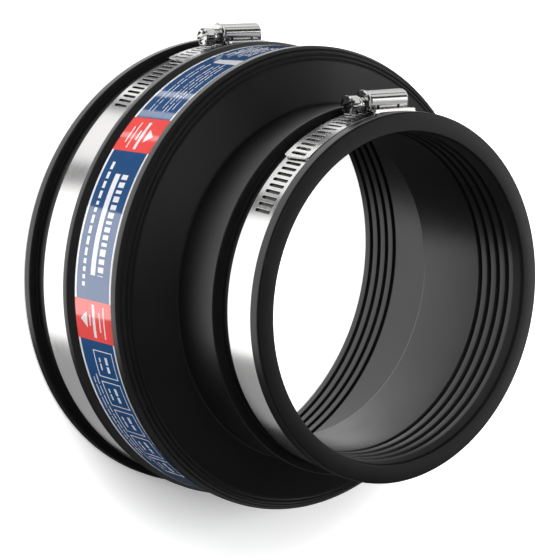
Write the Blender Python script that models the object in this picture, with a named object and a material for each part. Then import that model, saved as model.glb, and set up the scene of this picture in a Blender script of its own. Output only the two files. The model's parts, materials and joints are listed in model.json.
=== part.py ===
"""Adapter coupling: a stepped rubber sleeve with a printed band and two worm clamps.

The sleeve stands on its large end, its axis along Z. The origin is in the middle of
the part's base, a little in front of that axis because the large clamp's cover stands
out. The clamp screws lie on the -Y side, their heads towards +X.
"""
import math

import bmesh
import bpy
import numpy as np
from mathutils import Matrix

for old in list(bpy.data.objects):
    bpy.data.objects.remove(old, do_unlink=True)

MM = 0.001
FIT = 0.3                # air between pieces that rest on each other
LAY = 0.2                # air between the thin layers of a clamp
SECTORS = 48             # facets round every turned form

# Sleeve: one rubber moulding, all sizes in millimetres.
LENGTH = 120.0           # end face to end face
SMALL_BORE = 125.0       # takes the 110 to 125 pipe
LARGE_BORE = 170.0       # takes the 155 to 170 pipe
SMALL_WALL = 8.0         # bore to the top of the small lip
LARGE_WALL = 8.5         # bore to the top of the large lip
SMALL_LIP = 4.6          # length of the small lip
LARGE_LIP = 5.4          # length of the large lip
SMALL_SEAT_DEPTH = 2.4   # band seat below the small lip
LARGE_SEAT_DEPTH = 3.4   # band seat below the large lip
SMALL_SEAT_WIDTH = 19.8
LARGE_SEAT_WIDTH = 22.8
NECK_RISE = 1.6          # neck ridge above the small lip
NECK_TAPER = 1.5         # draft of the neck over its length
SHOULDER_HEIGHT = 72.0   # crease between neck and shoulder
SHOULDER_DROP = 7.2      # fall of the shoulder from crease to rim
RIM_RADIUS = 92.6
RIDGE_RADIUS = 93.2
RIDGE_LENGTH = 6.0
PRINT_SEAT_DEPTH = 1.4   # printed band's seat below the rim
WEB = 6.3                # rubber between the two cones
BEAD = 0.5               # height of the two fine beads on the shoulder
LEAD_IN = 0.8            # chamfer at both mouths
EDGE = 0.9               # rounding of the outer edges
GROOVE_WIDTH = 2.2       # sealing grooves in both bores
GROOVE_DEPTH = 1.2
GROOVE_PITCH = 5.0
SMALL_GROOVES = 4
LARGE_GROOVES = 4
GROOVE_START = 3.9       # large face to its first groove
SMALL_GROOVE_START = 7.2

# Printed film band round the large half.
PRINT_WIDTH = 24.2
PRINT_THICKNESS = 0.4

# Worm clamps: the two differ in size only where the sleeve does.
BAND_WIDTH = 14.0
BAND_THICKNESS = 0.5
SLOT_PITCH = 2.7
SLOT_LENGTH = 8.5        # across the band
SLOT_WIDTH = 1.25
SLOT_SLANT = 4.0         # degrees, the lead of the worm
SMALL_BAND_EDGE = 5.7    # small face to the band's near edge
LARGE_BAND_EDGE = 11.5   # large face to the band's near edge
CLIMB = 34.0             # length over which the tail climbs onto the saddle
SADDLE_THICKNESS = 0.4
SADDLE_WALL = 0.5
SADDLE_RISE = 2.3        # height of the side walls
SADDLE_BACK = 9.0        # reach past the screw's middle, away from its head
SADDLE_FRONT = 11.5
SADDLE_CLEAR = 3.0       # band left free of the climb beyond either end of the saddle
FOOT_LENGTH = 2.0
WORM_CREST = 2.6         # radii
WORM_ROOT = 1.9
COVER_SHEET = 0.8
COVER_RADIUS = 4.1       # outside of the cover's arch
ARCH_LIFT = 1.0          # middle of the arch above the screw's axis
COVER_BACK = 8.7         # cover's reach away from the screw head
COVER_FRONT = 9.3
FLARE_LENGTH = 2.1
FLARE = 0.3
SIDE_HOLE = 1.4          # diameter of the four small windows
HOLE_BACK = 3.5          # the windows' places along the cover
HOLE_FRONT = 6.5
NECK_LENGTH = 1.9        # bare neck between the cover's mouth and the collar
COLLAR_RADIUS = 3.4
COLLAR_LENGTH = 1.5
HEX_SIZE = 7.0           # across flats
HEX_CORNER = 3.8         # radius to which its corners are turned down
HEX_LENGTH = 3.9
HEAD_SLOT = 1.0
HEAD_SLOT_DEPTH = 1.5
HEAD_SLOT_TURN = -65.0   # degrees
SMALL_TAIL = 45.6        # free tail past the screw's middle, along the band
LARGE_TAIL = 31.3
TAIL_PLAIN = 1.6         # plain end of the tail after its last slot
SLOT_OVERLAP = 4.0       # slots of the layer below that the tail covers
SMALL_UNDER = 69.2       # last slot of the layer below
LARGE_UNDER = 63.5
SPARE_LENGTH = 20.0      # slotted length on the far side of the screw

# Radii and heights that follow from the sizes above.
small_r = SMALL_BORE / 2
large_r = LARGE_BORE / 2
small_lip_r = small_r + SMALL_WALL
large_lip_r = large_r + LARGE_WALL
small_seat_r = small_lip_r - SMALL_SEAT_DEPTH
large_seat_r = large_lip_r - LARGE_SEAT_DEPTH
small_seat_top = LENGTH - SMALL_LIP
small_seat_end = small_seat_top - SMALL_SEAT_WIDTH
large_seat_end = LARGE_LIP + LARGE_SEAT_WIDTH
neck_r = small_lip_r + NECK_RISE
crease_r = neck_r - NECK_TAPER
rim_top = SHOULDER_HEIGHT - SHOULDER_DROP
print_seat_r = RIM_RADIUS - PRINT_SEAT_DEPTH
print_seat_end = large_seat_end + RIDGE_LENGTH
print_middle = print_seat_end + 1.0 + PRINT_WIDTH / 2
print_seat_top = print_middle + PRINT_WIDTH / 2 + 0.6
small_band_z = LENGTH - SMALL_BAND_EDGE - BAND_WIDTH / 2
large_band_z = LARGE_BAND_EDGE + BAND_WIDTH / 2

# Heights in a clamp's stack, counted from the seat.
under_low = FIT
saddle_floor = under_low + BAND_THICKNESS + LAY
over_low = saddle_floor + SADDLE_THICKNESS + LAY
cover_low = over_low + BAND_THICKNESS + LAY
cover_brim = cover_low + COVER_SHEET
worm_lift = cover_low + WORM_CREST
arch_lift = worm_lift + ARCH_LIFT

# The sleeve's axis stands back from the origin so that the base is centred on it.
axis_y = (large_seat_r + arch_lift + COVER_RADIUS + FLARE - large_lip_r) / 2


def material(name, colour, rough, metal=0.0):
    mat = bpy.data.materials.new(name)
    mat.use_nodes = True
    bsdf = mat.node_tree.nodes["Principled BSDF"]
    bsdf.inputs["Base Color"].default_value = (*colour, 1.0)
    bsdf.inputs["Roughness"].default_value = rough
    bsdf.inputs["Metallic"].default_value = metal
    mat.diffuse_color = (*colour, 1.0)
    return mat


def add_object(name, bm, mat, parent=None, location=(0, 0, 0)):
    """Close up a mesh built in millimetres and put it in the scene in metres."""
    bmesh.ops.remove_doubles(bm, verts=bm.verts, dist=1e-4)
    bmesh.ops.dissolve_degenerate(bm, edges=bm.edges, dist=1e-5)
    bmesh.ops.recalc_face_normals(bm, faces=bm.faces)
    bmesh.ops.scale(bm, vec=(MM, MM, MM), verts=bm.verts)
    mesh = bpy.data.meshes.new(name)
    bm.to_mesh(mesh)
    bm.free()
    mesh.shade_smooth()
    mesh.set_sharp_from_angle(angle=math.radians(32))
    mesh.materials.append(mat)
    obj = bpy.data.objects.new(name, mesh)
    bpy.context.collection.objects.link(obj)
    obj.location = [v * MM for v in location]
    obj.parent = parent
    return obj


def add_empty(name, location, parent=None):
    obj = bpy.data.objects.new(name, None)
    obj.empty_display_size = 0.02
    bpy.context.collection.objects.link(obj)
    obj.location = [v * MM for v in location]
    obj.parent = parent
    return obj


def rounded(corners, steps=2):
    """Turn (radius, height, fillet) corners into a profile with rounded corners."""
    points = []
    count = len(corners)
    for i, (r, z, fillet) in enumerate(corners):
        here = np.array((r, z))
        if not fillet:
            points.append(here)
            continue
        before = np.array(corners[i - 1][:2]) - here
        after = np.array(corners[(i + 1) % count][:2]) - here
        before_len, after_len = np.linalg.norm(before), np.linalg.norm(after)
        before, after = before / before_len, after / after_len
        half = math.acos(np.clip(before @ after, -1, 1)) / 2
        reach = min(fillet / math.tan(half), 0.45 * before_len, 0.45 * after_len)
        radius = reach * math.tan(half)
        centre = here + (before + after) / np.linalg.norm(before + after) * radius / math.sin(half)
        a, b = here + before * reach - centre, here + after * reach - centre
        sweep = math.acos(np.clip(a @ b / (radius * radius), -1, 1))
        for k in range(steps + 1):
            f = k / steps
            points.append(centre + (math.sin((1 - f) * sweep) * a + math.sin(f * sweep) * b)
                          / math.sin(sweep))
    return points


def turned(profile):
    """Spin a closed (radius, height) profile once round Z."""
    bm = bmesh.new()
    verts = [bm.verts.new((r, 0, z)) for r, z in profile]
    edges = [bm.edges.new((verts[i - 1], verts[i])) for i in range(len(verts))]
    bmesh.ops.spin(bm, geom=verts + edges, cent=(0, 0, 0), axis=(0, 0, 1),
                   angle=2 * math.pi, steps=SECTORS, use_merge=True, use_duplicate=False)
    return bm


def at_angle(degrees, radius, height):
    """A point by its angle from the -Y side, turning towards +X."""
    a = math.radians(degrees)
    return (radius * math.sin(a), -radius * math.cos(a), height)


def seal_grooves(bore_r, starts, down):
    """Corners of the sealing grooves, walked up or down the bore."""
    corners = []
    for start in starts:
        near, far = (start, start + GROOVE_WIDTH)
        slope = GROOVE_WIDTH * 0.22
        walk = [(bore_r, near, 0), (bore_r + GROOVE_DEPTH, near + slope, 0),
                (bore_r + GROOVE_DEPTH, far - slope, 0), (bore_r, far, 0)]
        corners += walk[::-1] if down else walk
    return corners


def sleeve_profile():
    """The sleeve's section: up its outside, across the small face, down the bore."""
    cone_in_top = SHOULDER_HEIGHT - SHOULDER_DROP * (crease_r - small_r) / (RIM_RADIUS - crease_r) - WEB
    cone_in_low = cone_in_top - (large_r - small_r) * SHOULDER_DROP / (RIM_RADIUS - crease_r)
    fall = SHOULDER_DROP / (RIM_RADIUS - crease_r)
    outside = [(large_r + LEAD_IN, 0, 0), (large_lip_r, 0, EDGE), (large_lip_r, LARGE_LIP, EDGE * 0.7),
               (large_seat_r, LARGE_LIP, 0), (large_seat_r, large_seat_end, 0),
               (RIDGE_RADIUS, large_seat_end, EDGE), (RIDGE_RADIUS, large_seat_end + RIDGE_LENGTH * 0.5, EDGE),
               (print_seat_r, print_seat_end, 0), (print_seat_r, print_seat_top, 0),
               (RIM_RADIUS, print_seat_top, 0.3), (RIM_RADIUS, rim_top, EDGE * 2.2)]
    bead_r = [RIM_RADIUS - 2.6, RIM_RADIUS - 4.8]
    for r in bead_r:
        base = SHOULDER_HEIGHT - fall * (r - crease_r)
        outside += [(r + 0.7, base - 0.7 * fall, 0), (r, base + BEAD, 0), (r - 0.7, base + 0.7 * fall, 0)]
    outside += [(crease_r, SHOULDER_HEIGHT, 0), (neck_r, small_seat_end, EDGE),
                (small_seat_r, small_seat_end, 0), (small_seat_r, small_seat_top, 0),
                (small_lip_r, small_seat_top, EDGE * 0.5), (small_lip_r, LENGTH, EDGE)]
    starts_small = [LENGTH - SMALL_GROOVE_START - GROOVE_WIDTH - k * GROOVE_PITCH
                    for k in range(SMALL_GROOVES)]
    starts_large = [GROOVE_START + k * GROOVE_PITCH for k in range(LARGE_GROOVES)][::-1]
    inside = [(small_r + LEAD_IN, LENGTH, 0), (small_r + LEAD_IN * 0.5, LENGTH - 1.2, 0),
              (small_r, LENGTH - 5.0, 0)]
    inside += seal_grooves(small_r, starts_small, True)
    inside += [(small_r, cone_in_top, 0), (large_r, cone_in_low, 3.0)]
    inside += seal_grooves(large_r, starts_large, True)
    inside += [(large_r, LEAD_IN, 0)]
    return rounded(outside + inside)


def strip(stations, width, slot_spans, thick, seat_of, slant_of, slot_length):
    """A flat band bent round the sleeve, with slanted through slots.

    Each station is an angle. Four lines run along the band, at its edges and at the
    slot ends, each as an inner and an outer line.
    """
    bm = bmesh.new()
    lines = (-width / 2, -slot_length / 2, slot_length / 2, width / 2)
    rows = []
    for a in stations:
        inner = seat_of(a)
        row = []
        for z in lines:
            turn = math.degrees(math.tan(math.radians(slant_of(a))) * z / inner)
            row.append((bm.verts.new(at_angle(a + turn, inner, z)),
                        bm.verts.new(at_angle(a + turn, inner + thick, z))))
        rows.append(row)
    last = len(rows) - 1
    for i in range(last):
        p, q = rows[i], rows[i + 1]
        cut = i in slot_spans
        for k in range(3):
            if cut and k == 1:
                continue
            bm.faces.new((p[k][1], q[k][1], q[k + 1][1], p[k + 1][1]))
            bm.faces.new((p[k][0], p[k + 1][0], q[k + 1][0], q[k][0]))
        bm.faces.new((p[0][0], q[0][0], q[0][1], p[0][1]))
        bm.faces.new((p[3][0], p[3][1], q[3][1], q[3][0]))
        if cut:
            bm.faces.new((p[1][0], p[1][1], q[1][1], q[1][0]))
            bm.faces.new((p[2][0], q[2][0], q[2][1], p[2][1]))
            bm.faces.new((p[1][0], p[2][0], p[2][1], p[1][1]))
            bm.faces.new((q[1][0], q[1][1], q[2][1], q[2][0]))
    for row in (rows[0], rows[last]):
        for k in range(3):
            bm.faces.new((row[k][0], row[k][1], row[k + 1][1], row[k + 1][0]))
    return bm


def clamp_band(seat_r, tail, under):
    """One clamp's band: fixed end under the cover, once round, free tail on top."""
    under_r = seat_r + under_low
    over_r = seat_r + over_low
    step = 360.0 / SECTORS
    per_mm = math.degrees(1.0 / (under_r + BAND_THICKNESS))
    start = -SADDLE_BACK * per_mm
    tail_end = 360.0 + tail * per_mm
    climb_end = 360.0 - (SADDLE_BACK + SADDLE_CLEAR) * per_mm
    climb_start = climb_end - CLIMB * per_mm
    settle = 360.0 + (SADDLE_FRONT + SADDLE_CLEAR) * per_mm

    def seat_of(a):
        if a <= climb_start:
            return under_r
        if a < climb_end:
            f = (a - climb_start) / (climb_end - climb_start)
            return under_r + (over_r - under_r) * f * f * (3 - 2 * f)
        if a <= settle:
            return over_r
        return over_r - 0.25 * SADDLE_THICKNESS * (a - settle) / (tail_end - settle)

    pitch = SLOT_PITCH * per_mm
    half = SLOT_WIDTH * per_mm / 2
    covered = (tail - SLOT_OVERLAP) * per_mm
    slots = []
    a = under * per_mm
    while a > covered:
        slots.append(a)
        a -= pitch
    slots.reverse()
    first_plain = slots[-1] + pitch
    over = []
    a = tail_end - TAIL_PLAIN * per_mm - half
    while a > 360.0 - (COVER_BACK + SPARE_LENGTH) * per_mm:
        over.append(a)
        a -= pitch
    over.reverse()

    stations, spans = [start], []
    grid = [k * step for k in range(SECTORS)]
    for g in grid:
        if start + 1 < g < slots[0] - half - 1:
            stations.append(g)
    for s in slots:
        spans.append(len(stations))
        stations += [s - half, s + half]
    for g in grid:
        if first_plain < g < over[0] - half - 1:
            stations.append(g)
    for s in over:
        spans.append(len(stations))
        stations += [s - half, s + half]
    stations.append(tail_end)

    def slant_of(a):
        slotted = slots[0] - half <= a <= slots[-1] + half or over[0] - half <= a
        return SLOT_SLANT if slotted and a < tail_end else 0.0

    return strip(stations, BAND_WIDTH, set(spans), BAND_THICKNESS, seat_of, slant_of, SLOT_LENGTH)


def loft(rings):
    """Skin a run of closed rings of equal length and cap both ends."""
    bm = bmesh.new()
    rows = [[bm.verts.new(p) for p in ring] for ring in rings]
    count = len(rows[0])
    for p, q in zip(rows, rows[1:]):
        for k in range(count):
            n = (k + 1) % count
            bm.faces.new((p[k], p[n], q[n], q[k]))
    bm.faces.new(rows[0][::-1])
    bm.faces.new(rows[-1])
    return bm


def clamp_saddle(seat_r):
    """Channel on the band's fixed end: floor, two side walls and two feet."""
    floor = seat_r + saddle_floor
    inner = BAND_WIDTH / 2 + FIT
    outer = inner + SADDLE_WALL
    foot_low = seat_r + FIT + 0.05
    rings = []
    back, front = -SADDLE_BACK, SADDLE_FRONT
    runs = [(back, 0), (back * 0.5, 0), (0.0, 0), (front * 0.4, 0),
            (front - FOOT_LENGTH - 0.3, 0), (front - FOOT_LENGTH, 1), (front, 1)]
    for t, foot in runs:
        low = foot_low if foot else floor
        section = [(-outer, low), (-inner, low), (-inner, floor), (inner, floor), (inner, low),
                   (outer, low), (outer, floor + SADDLE_RISE), (inner, floor + SADDLE_RISE),
                   (inner, floor + SADDLE_THICKNESS), (-inner, floor + SADDLE_THICKNESS),
                   (-inner, floor + SADDLE_RISE), (-outer, floor + SADDLE_RISE)]
        if not foot:
            section[1] = (-inner - SADDLE_WALL * 0.5, low)
            section[2] = (-inner, floor)
            section[4] = (inner + SADDLE_WALL * 0.5, low)
        rings.append([at_angle(math.degrees(t / floor), r, z) for z, r in section])
    return loft(rings)


def clamp_cover(seat_r):
    """Sheet cover over the worm: a tall arch on two brims, with a rolled mouth."""
    axis = seat_r + worm_lift
    middle = seat_r + arch_lift
    low, brim_high = seat_r + cover_low, seat_r + cover_brim
    outer = COVER_RADIUS
    inner = outer - COVER_SHEET
    brim = BAND_WIDTH / 2
    steps = 10

    def section(t, r_in, at, r_out, brims):
        foot = low if brims else brim_high
        top = brim_high if brims else foot + 0.1
        reach = brim if brims else r_out + 0.02
        ring = [(reach, foot), (reach, top), (r_out, top + (0 if brims else 0.1))]
        ring += [(r_out * math.cos(math.pi * k / steps), middle + r_out * math.sin(math.pi * k / steps))
                 for k in range(steps + 1)]
        ring += [(-r_out, top + (0 if brims else 0.1)), (-reach, top), (-reach, foot), (-r_in, foot)]
        ring += [(-r_in * math.cos(math.pi * k / steps), at + r_in * math.sin(math.pi * k / steps))
                 for k in range(steps + 1)]
        ring += [(r_in, foot)]
        return [(t, -r, z) for z, r in ring]

    lip = WORM_CREST * 0.61 + FIT
    back, front = -COVER_BACK, COVER_FRONT
    rings = [section(back, lip, axis, outer - 0.3, True), section(back + 0.3, lip, axis, outer, True),
             section(back + COVER_SHEET, lip, axis, outer, True),
             section(back + COVER_SHEET + 0.05, inner, middle, outer, True),
             section(front, inner, middle, outer, True), section(front + 0.2, inner, middle, outer, False),
             section(front + FLARE_LENGTH * 0.35, inner + FLARE * 0.3, middle, outer + FLARE * 0.6, False),
             section(front + FLARE_LENGTH * 0.7, inner + FLARE, middle, outer + FLARE, False),
             section(front + FLARE_LENGTH, inner + FLARE, middle, outer + FLARE * 0.7, False)]
    return loft(rings), axis, brim_high, outer


def clamp_screw():
    """Worm screw lying along X: journal, worm, neck, collar and slotted hex head."""
    sides = 12
    start, end = -COVER_BACK + COVER_SHEET + 0.15, COVER_FRONT - 1.2
    collar = COVER_FRONT + FLARE_LENGTH + NECK_LENGTH
    head = collar + COLLAR_LENGTH
    tip = head + HEX_LENGTH
    journal = WORM_CREST * 0.61
    neck = WORM_ROOT + 0.2

    def hexagon(size):
        across = []
        for k in range(sides):
            off = (k * 360 / sides) % 60
            corner = size / 2 / math.cos(math.radians(off if off <= 30 else 60 - off))
            across.append(min(corner, HEX_CORNER * size / HEX_SIZE))
        return across

    def ring(t, radii):
        if not isinstance(radii, list):
            radii = [radii] * sides
        return [(t, radii[k] * math.cos(2 * math.pi * k / sides),
                 radii[k] * math.sin(2 * math.pi * k / sides)) for k in range(sides)]

    bm = bmesh.new()

    def put(points):
        return [bm.verts.new(p) for p in points]

    def join(p, q):
        for k in range(sides):
            n = (k + 1) % sides
            bm.faces.new((p[k], p[n], q[n], q[k]))

    tail = [put(ring(start - 2.2, journal - 0.4)), put(ring(start - 1.8, journal)),
            put(ring(start, journal)), put(ring(start, WORM_ROOT))]
    for p, q in zip(tail, tail[1:]):
        join(p, q)
    bm.faces.new(tail[0][::-1])

    # The thread: every row follows the helix, and four rows make one turn's profile.
    radii = (WORM_ROOT, WORM_CREST, WORM_CREST, WORM_ROOT)
    turns = int(math.ceil((end - start) / SLOT_PITCH)) + 2
    rows = []
    for i in range(-4, turns * 4):
        row = []
        for k in range(sides):
            t = start + SLOT_PITCH * (i / 4 + k / sides)
            r = radii[i % 4] if start < t < end else WORM_ROOT
            a = 2 * math.pi * k / sides
            t = min(max(t, start), end)
            row.append(bm.verts.new((t, r * math.cos(a), r * math.sin(a))))
        rows.append(row)
    last = len(rows) - 1
    for i in range(last):
        for k in range(sides):
            if k < sides - 1:
                quad = (rows[i][k], rows[i][k + 1], rows[i + 1][k + 1], rows[i + 1][k])
            else:
                quad = (rows[i][k], rows[min(i + 4, last)][0], rows[min(i + 5, last)][0], rows[i + 1][k])
            if len(set(quad)) == 4:
                bm.faces.new(quad)
            elif len(set(quad)) == 3:
                bm.faces.new(tuple(dict.fromkeys(quad)))

    front = [put(ring(end, WORM_ROOT)), put(ring(end + 0.3, neck)), put(ring(collar, neck)),
             put(ring(collar, COLLAR_RADIUS - 0.2)), put(ring(collar + 0.3, COLLAR_RADIUS)),
             put(ring(head, COLLAR_RADIUS)), put(ring(head, hexagon(HEX_SIZE - 0.4))),
             put(ring(head + 0.3, hexagon(HEX_SIZE))), put(ring(tip - 0.6, hexagon(HEX_SIZE))),
             put(ring(tip, hexagon(HEX_SIZE - 1.2)))]
    for p, q in zip(front, front[1:]):
        join(p, q)
    bm.faces.new(front[-1])
    return bm, tip


def cut(target, name, bm):
    """Take a hidden cutter out of an object."""
    tool = add_object(name, bm, target.data.materials[0], target.parent, (0, 0, 0))
    tool.location = target.location
    tool.hide_render = True
    tool.display_type = "WIRE"
    mod = target.modifiers.new("cut_" + name, "BOOLEAN")
    mod.operation = "DIFFERENCE"
    mod.object = tool
    mod.solver = "EXACT"
    return tool


rubber = material("EPDM rubber", (0.018, 0.018, 0.019), 0.55)
film = material("Printed film", (0.035, 0.10, 0.30), 0.4)
steel = material("Brushed stainless steel", (0.62, 0.61, 0.60), 0.3, 1.0)
screw_steel = material("Bright stainless screw", (0.72, 0.71, 0.70), 0.22, 1.0)

coupling = add_empty("coupling", (0, axis_y, 0))
add_object("coupling_body", turned(sleeve_profile()), rubber, coupling)

film_r = print_seat_r + FIT
low, high = print_middle - PRINT_WIDTH / 2, print_middle + PRINT_WIDTH / 2
add_object("label_band", turned([(film_r, low), (film_r + PRINT_THICKNESS, low),
                                 (film_r + PRINT_THICKNESS, high), (film_r, high)]), film, coupling)

for size, seat_r, middle, tail, under in (("large", large_seat_r, large_band_z, LARGE_TAIL, LARGE_UNDER),
                                          ("small", small_seat_r, small_band_z, SMALL_TAIL, SMALL_UNDER)):
    clamp = add_empty(size + "_clamp", (0, 0, middle), coupling)
    add_object(size + "_clamp_band", clamp_band(seat_r, tail, under), steel, clamp)
    add_object(size + "_clamp_saddle", clamp_saddle(seat_r), steel, clamp)
    sheet, axis, brim, outer = clamp_cover(seat_r)
    cover = add_object(size + "_clamp_housing", sheet, steel, clamp)
    windows = bmesh.new()
    for t in (-HOLE_BACK, HOLE_FRONT):
        made = bmesh.ops.create_cone(windows, cap_ends=True, segments=10, radius1=SIDE_HOLE / 2,
                                     radius2=SIDE_HOLE / 2, depth=3 * outer)
        bmesh.ops.translate(windows, vec=(t, -brim - SIDE_HOLE / 2 - 0.15, 0), verts=made["verts"])
    cut(cover, size + "_clamp_windows", windows)

    pivot = add_empty(size + "_clamp_screw_axis", (0, -axis, 0), clamp)
    shape, tip = clamp_screw()
    screw = add_object(size + "_clamp_screw", shape, screw_steel, pivot)
    slot = bmesh.new()
    bmesh.ops.create_cube(slot, size=1.0)
    bmesh.ops.scale(slot, vec=(2 * HEAD_SLOT_DEPTH, 3 * HEX_SIZE, HEAD_SLOT), verts=slot.verts)
    bmesh.ops.rotate(slot, cent=(0, 0, 0), verts=slot.verts,
                     matrix=Matrix.Rotation(math.radians(HEAD_SLOT_TURN), 3, "X"))
    bmesh.ops.translate(slot, vec=(tip, 0, 0), verts=slot.verts)
    cut(screw, size + "_clamp_head_slot", slot)
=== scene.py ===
"""Adapter coupling: a stepped rubber sleeve for two pipe sizes, its printed band and its
two worm clamps, standing on its large end. Sizes are in millimetres until they reach a
mesh, and angles are counted from the -Y side, where the screws lie, towards +X.
"""
import json
import math

import bmesh
import bpy
from mathutils import Matrix, Vector

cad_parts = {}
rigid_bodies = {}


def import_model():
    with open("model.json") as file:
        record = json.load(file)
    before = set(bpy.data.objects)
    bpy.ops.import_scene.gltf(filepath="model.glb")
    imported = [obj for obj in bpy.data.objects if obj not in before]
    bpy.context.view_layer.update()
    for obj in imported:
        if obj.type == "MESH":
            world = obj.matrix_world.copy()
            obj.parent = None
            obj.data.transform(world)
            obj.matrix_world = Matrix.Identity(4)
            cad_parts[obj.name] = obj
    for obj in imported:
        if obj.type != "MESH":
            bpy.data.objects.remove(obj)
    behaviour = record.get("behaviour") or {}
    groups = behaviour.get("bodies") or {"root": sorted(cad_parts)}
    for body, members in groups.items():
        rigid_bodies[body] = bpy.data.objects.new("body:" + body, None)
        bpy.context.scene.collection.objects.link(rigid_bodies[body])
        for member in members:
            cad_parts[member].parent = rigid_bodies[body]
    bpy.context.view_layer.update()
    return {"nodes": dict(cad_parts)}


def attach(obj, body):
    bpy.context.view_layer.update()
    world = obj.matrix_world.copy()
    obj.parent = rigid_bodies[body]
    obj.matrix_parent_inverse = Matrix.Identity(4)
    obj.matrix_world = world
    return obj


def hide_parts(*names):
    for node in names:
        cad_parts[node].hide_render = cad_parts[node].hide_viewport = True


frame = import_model()

# Rubber sleeve. One injection-moulded piece of EPDM rubber: a neck for the small pipe, a
# stepped shoulder and a wide skirt for the large pipe. Each end has a seat for a clamp
# between a lip and a ridge, and four sealing grooves round its bore.
MM = 0.001
AXIS_Y = 3.45                    # the sleeve's axis lies behind the middle of the base
LENGTH = 120.0
SMALL_BORE_R, LARGE_BORE_R = 62.5, 85.0
SMALL_LIP_R, LARGE_LIP_R = 70.5, 93.5
SMALL_SEAT_R, LARGE_SEAT_R = 68.1, 90.1
SMALL_SEAT = (95.6, 115.4)       # heights of the seat's two walls
LARGE_SEAT = (5.4, 28.2)
NECK_R, CREASE_R, CREASE_Z = 72.1, 70.6, 72.0
RIM_R, RIM_Z = 92.6, 64.8
RIDGE_R, RIDGE_TOP = 93.2, 34.2
PRINT_SEAT_R, PRINT_SEAT_TOP = 91.2, 60.0
WEB = 6.3                        # rubber between the two cones
GROOVE_DEPTH, GROOVE_WIDTH, GROOVE_PITCH = 1.2, 2.2, 5.0
GROOVE_LEAN = 0.5                # how far each side of a groove leans in
FIRST_GROOVE = 7.2               # from the small end's face to its first groove
LAST_GROOVE = 3.9                # from the large end's face to its last groove
BROKEN_EDGE = 0.8                # the large bore's edge
# The lead-in of the small bore: out from the bore, down from the face, and its fillet.
LEAD_IN = ((0.8, 0.0, 0.35), (0.4, 1.2, 0.4), (0.0, 5.0, 1.0))
FOOT_IN, FOOT_UP = 1.3, 1.6      # the large lip's foot turns in
RIDGE_FLAT = 3.0
RIM_IN, RIM_DOWN = 1.1, 1.7      # the rim's eased edge
BEADS = (2.6, 4.2, 5.8)          # how far in from the rim the shoulder's beads lie
BEAD_FOOT, BEAD_TOP, BEAD_HEIGHT, BEAD_SINK = 0.75, 0.25, 0.3, 0.25
CRISP = 32                       # edges that turn by more degrees than this stay sharp


def rounded(corners, steps=5):
    """Turn (radius, height, fillet) corners into a section with rounded corners."""
    points = []
    for i, (r, z, fillet) in enumerate(corners):
        here = Vector((r, z))
        if not fillet:
            points.append(here)
            continue
        before = Vector(corners[i - 1][:2]) - here
        after = Vector(corners[(i + 1) % len(corners)][:2]) - here
        half = before.angle(after) / 2
        reach = min(fillet / math.tan(half), 0.45 * before.length, 0.45 * after.length)
        radius = reach * math.tan(half)
        inward = (before.normalized() + after.normalized()).normalized()
        centre = here + inward * radius / math.sin(half)
        a = here + before.normalized() * reach - centre
        b = here + after.normalized() * reach - centre
        sweep = a.angle(b)
        for k in range(steps + 1):
            f = k / steps
            across = math.sin((1 - f) * sweep) * a + math.sin(f * sweep) * b
            points.append(centre + across / math.sin(sweep))
    return points


def turned(section, sectors=192):
    """Spin a closed section once round the sleeve's axis."""
    bm = bmesh.new()
    rows = []
    for k in range(sectors):
        a = 2 * math.pi * k / sectors
        rows.append([bm.verts.new((r * math.cos(a), r * math.sin(a), z)) for r, z in section])
    for k in range(sectors):
        p, q = rows[k - 1], rows[k]
        for i in range(len(section)):
            bm.faces.new((p[i - 1], q[i - 1], q[i], p[i]))
    return bm


def add_piece(name, bm, mat, body, node, crisp=CRISP):
    """Turn a millimetre mesh into a piece that rides on a body in place of a node."""
    bmesh.ops.remove_doubles(bm, verts=bm.verts, dist=1e-4)
    bmesh.ops.recalc_face_normals(bm, faces=bm.faces)
    bmesh.ops.translate(bm, vec=(0, AXIS_Y, 0), verts=bm.verts)
    bmesh.ops.scale(bm, vec=(MM, MM, MM), verts=bm.verts)
    mesh = bpy.data.meshes.new(name)
    bm.to_mesh(mesh)
    bm.free()
    mesh.shade_smooth()
    mesh.set_sharp_from_angle(angle=math.radians(crisp))
    mesh.materials.append(mat)
    piece = bpy.data.objects.new(name, mesh)
    bpy.context.collection.objects.link(piece)
    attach(piece, body)
    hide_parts(node)
    return piece


def linear(code):
    """An sRGB hex colour as the linear colour that a node takes."""
    parts = [int(code[i:i + 2], 16) / 255 for i in (0, 2, 4)]
    return [c / 12.92 if c <= 0.04045 else ((c + 0.055) / 1.055) ** 2.4 for c in parts] + [1.0]


def add_node(mat, kind, sockets, **settings):
    """Add a node. A socket takes a value, or the output that feeds it."""
    node = mat.node_tree.nodes.new("ShaderNode" + kind)
    for name, value in settings.items():
        setattr(node, name, value)
    for name, value in sockets.items():
        if isinstance(value, bpy.types.NodeSocket):
            mat.node_tree.links.new(value, node.inputs[name])
        else:
            node.inputs[name].default_value = value
    return node


def new_finish(name):
    """An empty material."""
    mat = bpy.data.materials.new(name)
    mat.use_nodes = True
    mat.node_tree.nodes.clear()
    return mat


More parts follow.
